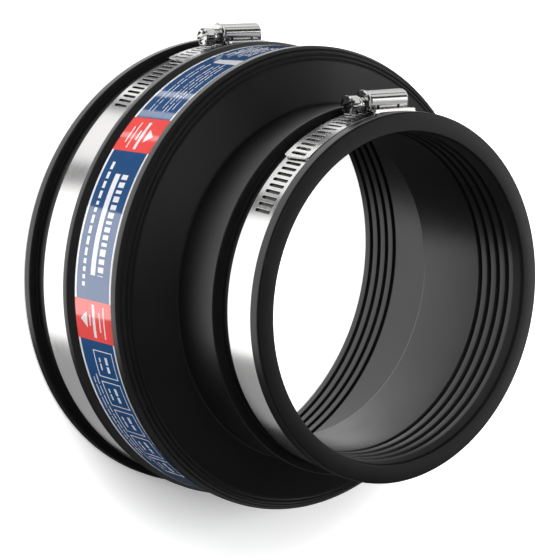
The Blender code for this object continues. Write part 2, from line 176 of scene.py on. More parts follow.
# Carbon-black filled EPDM, moulded in a fine-blasted steel tool: nearly black, with a dull
# satin shine and a soft bloom in patches of some 22 mm. The blasting's grain is about 0.1 mm,
# drawn at 0.7 mm, or it would not show.
epdm = new_finish("Moulded EPDM rubber")
place = add_node(epdm, "TexCoord", {})
in_mm = add_node(epdm, "Mapping", {"Vector": place.outputs["Object"], "Scale": (1 / MM,) * 3})
bloom = add_node(epdm, "TexNoise", {"Vector": in_mm.outputs["Vector"], "Scale": 1 / 22,
                                    "Detail": 4.0, "Roughness": 0.6})
grain = add_node(epdm, "TexNoise", {"Vector": in_mm.outputs["Vector"], "Scale": 1 / 0.7,
                                    "Detail": 2.0})
black = add_node(epdm, "MixRGB", {"Fac": bloom.outputs["Fac"], "Color1": linear("0a0a0b"),
                                  "Color2": linear("111112")})
dull = add_node(epdm, "MapRange", {"Value": bloom.outputs["Fac"], "From Min": 0.3,
                                   "From Max": 0.7, "To Min": 0.3, "To Max": 0.38})
blasted = add_node(epdm, "Bump", {"Height": grain.outputs["Fac"], "Strength": 0.25,
                                  "Distance": 0.05 * MM})
rubber = add_node(epdm, "BsdfPrincipled", {"Base Color": black.outputs["Color"], "IOR": 1.5,
                                           "Roughness": dull.outputs["Result"],
                                           "Normal": blasted.outputs["Normal"]})
add_node(epdm, "OutputMaterial", {"Surface": rubber.outputs["BSDF"]})


def seal_grooves(bore_r, first):
    """Section corners of four sealing grooves, walked down the bore from the first."""
    corners = []
    for k in range(4):
        top = first - k * GROOVE_PITCH
        low = top - GROOVE_WIDTH
        corners += [(bore_r, top, 0.25), (bore_r + GROOVE_DEPTH, top - GROOVE_LEAN, 0.3),
                    (bore_r + GROOVE_DEPTH, low + GROOVE_LEAN, 0.3), (bore_r, low, 0.25)]
    return corners


fall = (CREASE_Z - RIM_Z) / (RIM_R - CREASE_R)
cone_top = CREASE_Z - fall * (CREASE_R - SMALL_BORE_R) - WEB
# The section's corners, each with its fillet, up the outside and back down the bore.
section = [(LARGE_BORE_R + BROKEN_EDGE, 0, 0.3), (LARGE_LIP_R - FOOT_IN, 0, 0.6),
           (LARGE_LIP_R, FOOT_UP, 0.9), (LARGE_LIP_R, LARGE_SEAT[0], 0.7),
           (LARGE_SEAT_R, LARGE_SEAT[0], 0.4), (LARGE_SEAT_R, LARGE_SEAT[1], 0.4),
           (RIDGE_R, LARGE_SEAT[1], 0.9), (RIDGE_R, LARGE_SEAT[1] + RIDGE_FLAT, 1.2),
           (PRINT_SEAT_R, RIDGE_TOP, 0.3), (PRINT_SEAT_R, PRINT_SEAT_TOP, 0.2),
           (RIM_R, PRINT_SEAT_TOP, 0.3), (RIM_R, RIM_Z - RIM_DOWN, 0.5),
           (RIM_R - RIM_IN, RIM_Z - 0.1, 0.9)]
for inset in BEADS:
    bead_r = RIM_R - inset
    foot = CREASE_Z - fall * (bead_r - CREASE_R)
    section += [(bead_r + BEAD_FOOT, foot - BEAD_FOOT * fall - BEAD_SINK, 0.2),
                (bead_r + BEAD_TOP, foot - BEAD_TOP * fall + BEAD_HEIGHT, 0.2),
                (bead_r - BEAD_TOP, foot + BEAD_TOP * fall + BEAD_HEIGHT, 0.2)]
section += [(CREASE_R, CREASE_Z, 0.8), (NECK_R, SMALL_SEAT[0], 0.6),
            (SMALL_SEAT_R, SMALL_SEAT[0], 0.4), (SMALL_SEAT_R, SMALL_SEAT[1], 0.4),
            (SMALL_LIP_R, SMALL_SEAT[1], 0.4), (SMALL_LIP_R, LENGTH, 0.9)]
section += [(SMALL_BORE_R + out, LENGTH - down, fillet) for out, down, fillet in LEAD_IN]
section += seal_grooves(SMALL_BORE_R, LENGTH - FIRST_GROOVE)
section += [(SMALL_BORE_R, cone_top, 1.5),
            (LARGE_BORE_R, cone_top - (LARGE_BORE_R - SMALL_BORE_R) * fall, 3.0)]
section += seal_grooves(LARGE_BORE_R, LAST_GROOVE + GROOVE_WIDTH + 3 * GROOVE_PITCH)
section += [(LARGE_BORE_R, BROKEN_EDGE, 0.3)]
add_piece("rubber_sleeve", turned(rounded(section)), epdm, "coupling", "coupling_body")

# Printed band. A ring of glossy PVC film shrunk into its seat below the rim, screen printed
# blue all over, then red fields, then white bars, outlines and arrowheads. The layout comes
# twice round the ring.
FILM_R, FILM_THICKNESS = 91.9, 0.4
FILM_LOW, FILM_HIGH = 35.2, 59.4
FILM_WIDTH = FILM_HIGH - FILM_LOW
INK = 0.035                      # one printed coat, drawn thick enough to sit clear
FIELD, ON_FILM, ON_FIELD = INK, 2 * INK, 3 * INK
INK_ROOT = 0.05                  # how deep a print's edge reaches into the film
PRINT_STEP = 0.8                 # degrees between the cuts of a bent shape


def ink_finish(name, thin, full):
    """Screen ink on glossy PVC film: a flat, strong colour under a clear, wet-looking gloss, its
    coat a little thinner in patches of some 6 mm."""
    mat = new_finish(name)
    place = add_node(mat, "TexCoord", {})
    in_mm = add_node(mat, "Mapping", {"Vector": place.outputs["Object"], "Scale": (1 / MM,) * 3})
    mottle = add_node(mat, "TexNoise", {"Vector": in_mm.outputs["Vector"], "Scale": 1 / 6,
                                        "Detail": 3.0})
    colour = add_node(mat, "MixRGB", {"Fac": mottle.outputs["Fac"], "Color1": linear(thin),
                                      "Color2": linear(full)})
    ripple = add_node(mat, "Bump", {"Height": mottle.outputs["Fac"], "Strength": 0.1,
                                    "Distance": 0.05 * MM})
    ink = add_node(mat, "BsdfPrincipled", {"Base Color": colour.outputs["Color"], "Roughness": 0.5,
                                           "IOR": 1.5, "Specular IOR Level": 0.1,
                                           "Coat Weight": 1.0, "Coat Roughness": 0.06,
                                           "Normal": ripple.outputs["Normal"]})
    add_node(mat, "OutputMaterial", {"Surface": ink.outputs["BSDF"]})
    return mat


blue_ink = ink_finish("Blue ink on glossy PVC film", "03467c", "0c5088")
red_ink = ink_finish("Red ink on glossy PVC film", "fa4640", "ff4e49")
white_ink = ink_finish("White ink on glossy PVC film", "ececf1", "f7f7fa")

film = turned([(FILM_R - FILM_THICKNESS, FILM_LOW), (FILM_R, FILM_LOW), (FILM_R, FILM_HIGH),
               (FILM_R - FILM_THICKNESS, FILM_HIGH)])
add_piece("printed_band", film, blue_ink, "coupling", "label_band")


def at_angle(degrees, radius, height):
    """A point by its angle from the -Y side, turning towards +X."""
    a = math.radians(degrees)
    return (radius * math.sin(a), -radius * math.cos(a), height)


def print_shape(bm, stations, level):
    """One printed shape, bent round the film: stations are (angle, low, high) in order, and
    heights count from the film's lower edge."""
    fine = []
    for here, there in zip(stations, stations[1:]):
        steps = max(1, math.ceil(abs(there[0] - here[0]) / PRINT_STEP))
        fine += [[p + (q - p) * k / steps for p, q in zip(here, there)] for k in range(steps)]
    fine.append(stations[-1])
    root, top = FILM_R - INK_ROOT, FILM_R + level
    rows = [[bm.verts.new(at_angle(a, r, FILM_LOW + z))
             for r, z in ((root, low), (top, low), (top, high), (root, high))]
            for a, low, high in fine]
    for p, q in zip(rows, rows[1:]):
        for k in range(4):
            bm.faces.new((p[k - 1], q[k - 1], q[k], p[k]))
    bm.faces.new(rows[0][::-1])
    bm.faces.new(rows[-1])


def bar(bm, start, end, low, high, level=ON_FILM):
    """A plain bar or field, by its angles and heights."""
    print_shape(bm, [(start, low, high), (end, low, high)], level)


def outline(bm, start, end, low, high, line=0.35):
    """A square drawn as a line."""
    turn = math.degrees(line / FILM_R)
    bar(bm, start, end, low, low + line)
    bar(bm, start, end, high - line, high)
    bar(bm, start, start + turn, low + line, high - line)
    bar(bm, end - turn, end, low + line, high - line)


def arrowhead(bm, middle, foot, tip, half=1.9, point=0.01):
    """A triangle on a field that points along the sleeve, from its foot to its tip."""
    print_shape(bm, [(middle - half, foot - point, foot + point),
                     (middle, min(foot, tip), max(foot, tip)),
                     (middle + half, foot - point, foot + point)], ON_FIELD)


def dashes(bm, turn, first, last, low, high, shortest, spread, gap, beat, shift=0.0, clip=None,
           skip=(0.0, 0.0)):
    """A row of uneven dashes from a first to a last angle, but none that ends in the skip."""
    at = first
    while at < last:
        long = shortest + spread * ((at * beat + shift) % 1.0)
        if not skip[0] < at + long < skip[1]:
            bar(bm, turn + at, turn + (min(at + long, clip) if clip else at + long), low, high)
        at += long + gap


RED_FIELDS = ((43.7, 53.5), (90.2, 100.0))      # first and last angle
BORDER = 1.2
ARROWS = ((48.9, 16.0, 20.2), (95.0, 7.6, 3.4))          # angle, foot and tip
# Bars on the red fields, and the box between the fields: angles and heights.
FIELD_BARS = ((45.0, 52.8, 12.4, 14.0), (47.5, 50.3, 10.4, 11.2), (45.2, 52.6, 7.6, 8.2),
              (46.5, 51.2, 5.0, 5.6), (91.1, 99.1, 11.4, 13.0), (93.8, 96.4, 9.2, 10.0),
              (91.3, 98.9, 18.6, 19.2), (92.8, 97.5, 15.8, 16.4))
BOX = (59.6, 84.2, 10.2, 13.2)
SQUARES, SQUARE_PITCH, SQUARE, SQUARE_HEIGHTS = 102.3, 8.25, 7.0, (8.6, 21.0)
# Blocks in each square: angle from its side, length and heights.
SQUARE_BLOCKS = ((1.5, 1.9, 15.4, 16.9), (3.9, 1.6, 15.4, 16.9), (1.9, 1.1, 11.3, 12.1),
                 (3.4, 1.7, 11.3, 12.1))
red = bmesh.new()
white = bmesh.new()
for turn in (0.0, 180.0):
    for start, end in RED_FIELDS:
        bar(red, turn + start, turn + end, 0.0, FILM_WIDTH, FIELD)
    # White borders along both edges, stopped by the red fields.
    stops = (-80.0, *RED_FIELDS[0], RED_FIELDS[1][0])
    for start, end in zip(stops[::2], stops[1::2]):
        bar(white, turn + start, turn + end, 0.0, BORDER, FIELD)
        bar(white, turn + start, turn + end, FILM_WIDTH - BORDER, FILM_WIDTH, FIELD)
    # One arrowhead points to the small end, the other to the large end.
    for middle, foot, tip in ARROWS:
        arrowhead(white, turn + middle, foot, tip)
    for start, end, low, high in FIELD_BARS:
        bar(white, turn + start, turn + end, low, high, ON_FIELD)
    # Between the fields a plain box, a row of tall blocks above it and one of small ones below.
    bar(white, turn + BOX[0], turn + BOX[1], BOX[2], BOX[3])
    dashes(white, turn, 59.6, 84.2, 14.9, 18.4, 0.7, 1.0, 0.7, 3.7, clip=84.2)
    dashes(white, turn, 56.7, 87.1, 4.9, 6.6, 0.7, 1.6, 0.7, 3.7, clip=87.1)
    # Outlined squares with four small blocks in each, and two fine rows below them.
    for k in range(5):
        start = turn + SQUARES + k * SQUARE_PITCH
        outline(white, start, start + SQUARE, *SQUARE_HEIGHTS)
        for left, long, low, high in SQUARE_BLOCKS:
            bar(white, start + left, start + left + long, low, high)
    for row, low in enumerate((6.0, 3.6)):
        dashes(white, turn, 109.0 + row, 136.0, low, low + 0.4, 1.6, 1.7, 0.45, 7.3)
    # Fine rows before the first field, and a white wedge across them.
    for row, low in enumerate((19.0, 16.8, 14.6, 12.4, 8.0, 5.6)):
        dashes(white, turn, 5.0 + 0.7 * (row % 3), 40.2, low, low + 0.3, 1.4, 2.2, 0.5, 5.7,
               shift=row * 0.37, clip=41.4, skip=(16.0, 22.4))
    print_shape(white, [(turn + 17.8, 23.0, 23.1), (turn + 18.2, 8.0, 23.1),
                        (turn + 20.2, 8.0, 23.1), (turn + 20.6, 23.0, 23.1)], ON_FILM)
add_piece("printed_band_red", red, red_ink, "coupling", "label_band")
add_piece("printed_band_white", white, white_ink, "coupling", "label_band")

# Clamp bands. Strips of stainless spring steel, 14 mm by 0.5 mm, slit from brushed coil,
# punched with slanted slots for the worm and bent into a ring: the slotted tail lies over the
# start. Lengths along a strip count from the middle of its screw.
BAND_WIDTH, BAND_THICKNESS = 14.0, 0.5
SLOT_PITCH, SLOT_LENGTH, SLOT_WIDTH = 2.7, 8.5, 1.25
SLOT_SHEAR = math.tan(math.radians(4.0))
BAND_START = -9.0
CLIMB, CLIMB_END = 34.0, 12.0    # the climb onto the saddle: its length, and where it ends before
SETTLE = 14.5                    # the tail leaves the saddle and sinks a little
SLOTS_FROM = 28.7                # the overlying slots start so far before the screw
UNDER_PLAIN, TAIL_PLAIN = 4.0, 1.6              # plain steel left at the slots' ends
SLOT_EDGE = 0.9                  # a row of the mesh kept this far beyond the slots
BEND_STEP = 2.4                  # between the mesh's rows where the strip is plain
CUT_EDGE, CUT_ANGLE = 0.12, 0.9  # how much a cut edge is broken, and from what turn in radians
OUTWARD = 0.9993                 # faces this close to straight out count as the strip's flat
CLIP = 0.9                       # how far the tail's corners are clipped
FIT, LAY = 0.3, 0.2              # air under the band, and between the clamp's layers
SADDLE_SHEET = 0.4
TAIL_SINK = 0.25 * SADDLE_SHEET
CLAMPS = {"large": {"seat": LARGE_SEAT_R, "middle": 18.5, "tail": 31.3, "under": 63.5},
          "small": {"seat": SMALL_SEAT_R, "middle": 107.3, "tail": 45.6, "under": 69.2}}


def steel_finish(name, scale, noise, tones, roughness, relief, on_strip=False):
    """Stainless steel whose tone, gloss and height all follow one pattern of marks. The scale
    counts marks for a metre of the part, or for a millimetre along and across a strip."""
    mat = new_finish(name)
    place = (add_node(mat, "UVMap", {}, uv_map="UVMap").outputs["UV"] if on_strip
             else add_node(mat, "TexCoord", {}).outputs["Object"])
    stretched = add_node(mat, "Mapping", {"Vector": place, "Scale": scale})
    marks = add_node(mat, "TexNoise", {"Vector": stretched.outputs["Vector"], "Scale": 1.0,
                                       **noise})
    tone = add_node(mat, "MixRGB", {"Fac": marks.outputs["Fac"], "Color1": linear(tones[0]),
                                    "Color2": linear(tones[1])})
    polish = add_node(mat, "MapRange", {"Value": marks.outputs["Fac"], "From Min": 0.3,
                                        "From Max": 0.7, "To Min": roughness[0],
                                        "To Max": roughness[1]})
    height = add_node(mat, "Bump", {"Height": marks.outputs["Fac"], "Strength": relief,
                                    "Distance": 0.02 * MM})
    steel = add_node(mat, "BsdfPrincipled", {"Base Color": tone.outputs["Color"], "Metallic": 1.0,
                                             "Roughness": polish.outputs["Result"],
                                             "Normal": height.outputs["Normal"]})
    add_node(mat, "OutputMaterial", {"Surface": steel.outputs["BSDF"]})
    return mat


# Coil steel brushed along its length: long fine scratches that blur a shine across the band.
# Real scratches are some 0.05 mm apart, drawn at 0.3 mm and 9 mm long.
strip_steel = steel_finish("Brushed stainless strip", (1 / 9, 1 / 0.3, 1),
                           {"Detail": 3.0, "Roughness": 0.6}, ("c2c1c1", "d4d3d2"), (0.16, 0.24),
                           0.15, on_strip=True)


def thicken(bm, thickness):
    """Give a flat layout in X and Y its sheet thickness, upwards, and break its edges."""
    top = {v: bm.verts.new((v.co.x, v.co.y, thickness)) for v in list(bm.verts)}
    faces = list(bm.faces)
    rim = [e for e in bm.edges if len(e.link_faces) == 1]
    for face in faces:
        bm.faces.new([top[v] for v in face.verts][::-1])
    for edge in rim:
        a, b = edge.verts
        bm.faces.new((a, b, top[b], top[a]))
    bmesh.ops.recalc_face_normals(bm, faces=bm.faces)
    sharp = [e for e in bm.edges if len(e.link_faces) == 2 and e.calc_face_angle(0) > CUT_ANGLE
             and e.verts[0].co.z > thickness / 2 and e.verts[1].co.z > thickness / 2]
    bmesh.ops.bevel(bm, geom=sharp, offset=CUT_EDGE, segments=2, profile=0.5, affect="EDGES")


def flat_uv(bm):
    """Keep the flat layout's millimetres as the UV map, for marks that follow the strip."""
    layer = bm.loops.layers.uv.new("UVMap")
    for face in bm.faces:
        for loop in face.loops:
            loop[layer].uv = (loop.vert.co.x, loop.vert.co.y)


def clamp_band(seat, tail, under):
    """A strip laid out flat with its slots, then bent into a ring that climbs over its start."""
    bottom = seat + FIT
    lifted = bottom + BAND_THICKNESS + LAY + SADDLE_SHEET + LAY
    reach = bottom + BAND_THICKNESS          # millimetres along the band are counted here
    turn = 2 * math.pi * reach
    climb_end = turn - CLIMB_END
    climb_start = climb_end - CLIMB
    settle = turn + SETTLE
    end = turn + tail

    def height_of(s):
        if s <= climb_start:
            return bottom
        if s < climb_end:
            f = (s - climb_start) / (climb_end - climb_start)
            return bottom + (lifted - bottom) * f * f * (3 - 2 * f)
        return lifted - max(0.0, TAIL_SINK * (s - settle) / (end - settle))

    slots = []
    s = under
    while s > tail - UNDER_PLAIN:
        slots.append(s)
        s -= SLOT_PITCH
    below = len(slots)
    slots.reverse()
    over = []
    s = end - TAIL_PLAIN - SLOT_WIDTH / 2
    while s > turn - SLOTS_FROM:
        over.append(s)
        s -= SLOT_PITCH
    slots += over[::-1]

    bm = bmesh.new()
    half_w, half_l, half_p, edge = (size / 2 for size in (SLOT_WIDTH, SLOT_LENGTH, SLOT_PITCH,
                                                          BAND_WIDTH))
    straight, beyond = half_l - half_w, half_l + SLOT_EDGE
    for s in slots:
        hole, around = [], []
        for side in (1, -1):
            for k in range(9):
                a = math.pi * k / 8
                hole.append((side * half_w * math.cos(a),
                             side * (straight + half_w * math.sin(a))))
            around += [(side * half_p * x, side * y)
                       for x, y in ((1, straight), (1, beyond), (1, edge), (0.5, edge), (0, edge),
                                    (-0.5, edge), (-1, edge), (-1, beyond), (-1, straight))]
        inner = [bm.verts.new((s + x + y * SLOT_SHEAR, y, 0)) for x, y in hole]
        outer = [bm.verts.new((s + x + y * SLOT_SHEAR, y, 0)) for x, y in around]
        for k in range(len(inner)):
            bm.faces.new((inner[k - 1], inner[k], outer[k], outer[k - 1]))

    # Plain lengths between and beyond the slots, in steps that bend smoothly.
    marks = (-edge, -beyond, -straight, straight, beyond, edge)

    def plain(first, last, first_slant, last_slant):
        steps = max(1, math.ceil((last - first) / BEND_STEP))
        rows = []
        for k in range(steps + 1):
            f = k / steps
            shear = SLOT_SHEAR * (first_slant * (1 - f) + last_slant * f)
            at = first + (last - first) * f
            rows.append([bm.verts.new((at + y * shear, y, 0)) for y in marks])
        for p, q in zip(rows, rows[1:]):
            for k in range(len(marks) - 1):
                bm.faces.new((p[k], q[k], q[k + 1], p[k + 1]))

    plain(BAND_START, slots[0] - half_p, 0, 1)
    plain(slots[below - 1] + half_p, slots[below] - half_p, 1, 1)
    plain(slots[-1] + half_p, end, 1, 0)
    bmesh.ops.remove_doubles(bm, verts=bm.verts, dist=1e-3)
    # The tail's two corners are clipped round.
    for v in bm.verts:
        if v.co.x > end - 0.3:
            v.co.x -= CLIP * max(0.0, (abs(v.co.y) - half_l) / (edge - half_l)) ** 3
    thicken(bm, BAND_THICKNESS)
    flat_uv(bm)
    for v in bm.verts:
        s = v.co.x
        v.co = at_angle(math.degrees(s / reach), height_of(s) + v.co.z, v.co.y)
    return bm


for size, clamp in CLAMPS.items():
    bm = clamp_band(clamp["seat"], clamp["tail"], clamp["under"])
    bmesh.ops.translate(bm, vec=(0, 0, clamp["middle"]), verts=bm.verts)
    band = add_piece(size + "_band", bm, strip_steel, "coupling", size + "_clamp_band",
                     crisp=20)
    # The flat of the strip faces straight out of the ring, so the slotted length shines as evenly
    # as the rest.
    even = [Vector((0, 0, 0))] * len(band.data.loops)
    for face in band.data.polygons:
        out = Vector((face.center.x, face.center.y - AXIS_Y * MM, 0)).normalized()
        side = face.normal.dot(out)
        if abs(side) > OUTWARD:
            for k in face.loop_indices:
                x, y, z = band.data.vertices[band.data.loops[k].vertex_index].co
                even[k] = Vector((x, y - AXIS_Y * MM, 0)).normalized() * math.copysign(1, side)
    band.data.normals_split_custom_set(even)

# Clamp saddles. A channel of pressed stainless sheet, spot-welded to the start of each band:
# its floor carries the tail, its side walls guide it, and two feet hook down beside the band.
SADDLE_BACK, SADDLE_FRONT = -9.0, 11.5
SADDLE_WALL, SADDLE_RISE = 0.5, 2.3
SADDLE_STEP = 0.9
TONGUE, TONGUE_DROP = 1.8, 0.7   # the tongue's end, over which the walls sink away
# How far back from the front each step of a foot lies, and how much of the way down it is.
FOOT_STEPS = ((2.3, 0.0), (2.1, 0.55), (1.8, 1.0), (1.0, 1.0), (0.0, 1.0))
FOOT_FROM, FOOT_AIR = 2.6, 0.05
SADDLE_EDGE = 0.09               # how much its edges are broken

# Pressed and tumbled sheet: bright, with clear reflections that faint lines along X break up.
# The press leaves such lines about 0.1 mm apart, drawn at 0.4 mm and 14 mm long.
pressed = steel_finish("Pressed stainless sheet",
                       (1 / (14 * MM), 1 / (0.4 * MM), 1 / (0.4 * MM)), {"Detail": 3.0},
                       ("cccbcb", "dbdad9"), (0.09, 0.15), 0.08)


def loft(rings):
    """Skin a run of closed rings of equal length and cap both ends."""
    bm = bmesh.new()
    rows = [[bm.verts.new(p) for p in ring] for ring in rings]
    for p, q in zip(rows, rows[1:]):
        for k in range(len(p)):
            bm.faces.new((p[k - 1], p[k], q[k], q[k - 1]))
    bm.faces.new(rows[0][::-1])
    bm.faces.new(rows[-1])
    return bm


def break_edges(bm, width, angle=0.8):
    """Take the sharpness off the edges that turn by more than an angle, in radians."""
    bmesh.ops.recalc_face_normals(bm, faces=bm.faces)
    sharp = [e for e in bm.edges if len(e.link_faces) == 2 and e.calc_face_angle(0) > angle]
    bmesh.ops.bevel(bm, geom=sharp, offset=width, segments=2, profile=0.5, affect="EDGES",
                    clamp_overlap=True)


def clamp_saddle(seat):
    """A channel that follows the ring, with feet at its front."""
    floor = seat + FIT + BAND_THICKNESS + LAY
    inner = BAND_WIDTH / 2 + FIT
    outer = inner + SADDLE_WALL
    foot_low = seat + FIT + FOOT_AIR
    rings = []
    steps = math.ceil((SADDLE_FRONT - FOOT_FROM - SADDLE_BACK) / SADDLE_STEP)
    stations = [(SADDLE_BACK + SADDLE_STEP * k, 0.0) for k in range(steps)]
    stations += [(SADDLE_FRONT - back, foot) for back, foot in FOOT_STEPS]
    for t, foot in stations:
        low = floor + (foot_low - floor) * foot
        mouth = inner + (0.0 if foot else SADDLE_WALL * 0.5)
        # The walls' tops run straight, not round the ring, and sink away at the tongue's end.
        tongue = max(0.0, 1.0 - (t - SADDLE_BACK) / TONGUE)
        top = (floor + SADDLE_RISE) / math.cos(t / floor) - TONGUE_DROP * tongue ** 2
        flat = [(-outer, low), (-mouth, low), (-inner, floor), (inner, floor), (mouth, low),
                (outer, low), (outer, top), (inner, top), (inner, floor + SADDLE_SHEET),
                (-inner, floor + SADDLE_SHEET), (-inner, top), (-outer, top)]
        rings.append([at_angle(math.degrees(t / floor), r, z) for z, r in flat])
    bm = loft(rings)
    break_edges(bm, SADDLE_EDGE)
    return bm


for size, clamp in CLAMPS.items():
    bm = clamp_saddle(clamp["seat"])
    bmesh.ops.translate(bm, vec=(0, 0, clamp["middle"]), verts=bm.verts)
    add_piece(size + "_saddle", bm, pressed, "coupling", size + "_clamp_saddle",
              crisp=40)

# Worm covers. The same sheet pressed into a half tube on two brims, locked to the saddle, with
# a rolled mouth round the screw's neck, and two small windows on each side where the tool held.
WORM_CREST, WORM_ROOT = 2.6, 1.9
JOURNAL_R = WORM_CREST * 0.61
COVER_BACK, COVER_FRONT, MOUTH_LENGTH = -8.7, 9.3, 2.1
COVER_SHEET, COVER_R = 0.8, 4.1
BACK_WALL = 0.8
ARCH_LIFT = 1.0                  # the half tube's middle above the screw's axis
MOUTH_FLARE, MOUTH_DRAW = 0.3, 0.35
NECK_ROLL = 3.05                 # the hole that the rolled mouth leaves for the neck
TUCK = 0.35                      # how far the tube's sides curve in above the brims
FLUTE, FLUTES = 0.05, 14
WINDOW, WINDOWS_AT, WINDOW_LIFT = 1.4, (-3.5, 6.5), 0.15
NECK_HOLE = JOURNAL_R + FIT


def worm_axis(seat):
    """How far out the screw lies: seat, strip, saddle, strip and worm, one over the other."""
    return seat + FIT + 2 * BAND_THICKNESS + SADDLE_SHEET + 3 * LAY + WORM_CREST


def clamp_cover(axis):
    """A half tube on brims, and the height of the brims' tops."""
    low = axis - WORM_CREST
    high = low + COVER_SHEET
    arch = axis + ARCH_LIFT
    inner = COVER_R - COVER_SHEET
    edge = BAND_WIDTH / 2
    steps = 40

    def ring(t, r_in, middle, r_out, brims, fluted=1.0):
        """The cover cut across at t: its hole and that hole's height, its outer radius, whether
        the brims stand there, and how deep the flutes along its top are."""
        foot = low if brims else high
        top = high if brims else foot + 0.1
        reach = edge if brims else r_out + 0.02
        points = [(reach, foot), (reach, top), (r_out - TUCK, top + (0 if brims else 0.1))]
        sides = [(r_out - TUCK * (1 - k / 4) ** 2, top + (arch - top) * k / 4) for k in (1, 2, 3)]
        points += sides
        for k in range(steps + 1):
            a = math.pi * k / steps
            flute = FLUTE * fluted * (math.cos(FLUTES * a) - 1) * max(0.0, math.sin(a)) ** 3
            points.append(((r_out + flute) * math.cos(a), arch + (r_out + flute) * math.sin(a)))
        points += [(-r, z) for r, z in reversed(sides)]
        points += [(TUCK - r_out, top + (0 if brims else 0.1)), (-reach, top), (-reach, foot),
                   (-r_in, foot)]
        for k in range(steps + 1):
            a = math.pi * k / steps
            points.append((-r_in * math.cos(a), middle + r_in * math.sin(a)))
        points.append((r_in, foot))
        return [(t, -r, z) for z, r in points]

    # The back wall holds the screw's journal, and its edge is rounded.
    rings = [ring(COVER_BACK + t, NECK_HOLE, axis, COVER_R - less, True, fluted)
             for t, less, fluted in ((0.0, 0.35, 0), (0.1, 0.12, 0.3), (0.3, 0.0, 1),
                                     (BACK_WALL, 0.0, 1))]
    rings += [ring(COVER_BACK + BACK_WALL + 0.05, inner, arch, COVER_R, True),
              ring(COVER_FRONT, inner, arch, COVER_R, True)]
    rings += [ring(COVER_FRONT + t, inner, arch, COVER_R - less, False, fluted)
              for t, less, fluted in ((0.12, 0.0, 0.8), (0.3, 0.05, 0.4), (0.5, 0.06, 0))]
    for k in range(1, 9):
        f = k / 8
        swell = math.sin(f * math.pi * 0.72) * MOUTH_FLARE
        # The mouth is rolled in until it closes round the screw's neck.
        roll = max(0.0, 2 * f - 1) ** 2
        rings.append(ring(COVER_FRONT + 0.5 + (MOUTH_LENGTH - 0.5) * f,
                          inner + (NECK_ROLL - inner) * roll, arch + (axis - arch) * roll,
                          COVER_R + swell - MOUTH_DRAW * roll, False, 0))
    return loft(rings), high


def carve(piece, cutters):
    """Take the cutters out of a piece for good."""
    tool_mesh = bpy.data.meshes.new("cutters")
    bmesh.ops.translate(cutters, vec=(0, AXIS_Y, 0), verts=cutters.verts)
    bmesh.ops.scale(cutters, vec=(MM, MM, MM), verts=cutters.verts)
    cutters.to_mesh(tool_mesh)
    cutters.free()
    tool = bpy.data.objects.new("cutters", tool_mesh)
    bpy.context.collection.objects.link(tool)
    mod = piece.modifiers.new("carve", "BOOLEAN")
    mod.operation, mod.object, mod.solver = "DIFFERENCE", tool, "EXACT"
    bpy.context.view_layer.update()
    whole = piece.evaluated_get(bpy.context.evaluated_depsgraph_get())
    carved = bpy.data.meshes.new_from_object(whole)
    piece.modifiers.clear()
    piece.data = carved
    bpy.data.objects.remove(tool, do_unlink=True)
    carved.set_sharp_from_angle(angle=math.radians(CRISP))


for size, clamp in CLAMPS.items():
    axis = worm_axis(clamp["seat"])
    bm, brim_top = clamp_cover(axis)
    bmesh.ops.translate(bm, vec=(0, 0, clamp["middle"]), verts=bm.verts)
    cover = add_piece(size + "_cover", bm, pressed, "coupling", size + "_clamp_housing")
    windows = bmesh.new()
    for t in WINDOWS_AT:
        made = bmesh.ops.create_cone(windows, cap_ends=True, segments=24, radius1=WINDOW / 2,
                                     radius2=WINDOW / 2, depth=3 * COVER_R)
        bmesh.ops.translate(windows, verts=made["verts"],
                            vec=(t, -brim_top - WINDOW / 2 - WINDOW_LIFT, clamp["middle"]))
    carve(cover, windows)

# Clamp screws. Turned from stainless bar: a journal, a worm that bites the band's slots, a
# collar against the cover's mouth and a 7 mm hexagon with a slot, so a key or a blade turns it.
WORM_FROM, WORM_TO = 0.95, 1.2   # from the cover's back and front to the worm's two ends
WORM_STEP = 0.16                 # between the mesh's rows along the worm
FLANK, CREST_END = 0.25, 0.75    # the thread's flank and crest, as shares of one pitch
RUN_OUT = 0.4                    # over which the thread fades at both ends
JOURNAL_LENGTH = 2.2
BARE_NECK = 1.9                  # between the cover's mouth and the collar
THICK_NECK = 2.9                 # radius where the neck fills the mouth
COLLAR_R, COLLAR_LENGTH = 3.4, 1.5
HEX_SIZE, HEX_CORNER, HEX_LENGTH, HEX_CHAMFER = 7.0, 3.8, 3.9, 0.7
BLADE_SLOT, BLADE_DEPTH, BLADE_TURN = 1.0, 1.5, -65.0

# Turned stainless: bright and clear, with rings round the screw that the tool left. Its feed is
# about 0.1 mm, drawn at 0.35 mm.
turned_steel = steel_finish("Turned stainless bar", (1 / (0.35 * MM), 60, 60), {"Detail": 2.0},
                            ("c9c8c8", "e2e1e0"), (0.08, 0.14), 0.1)


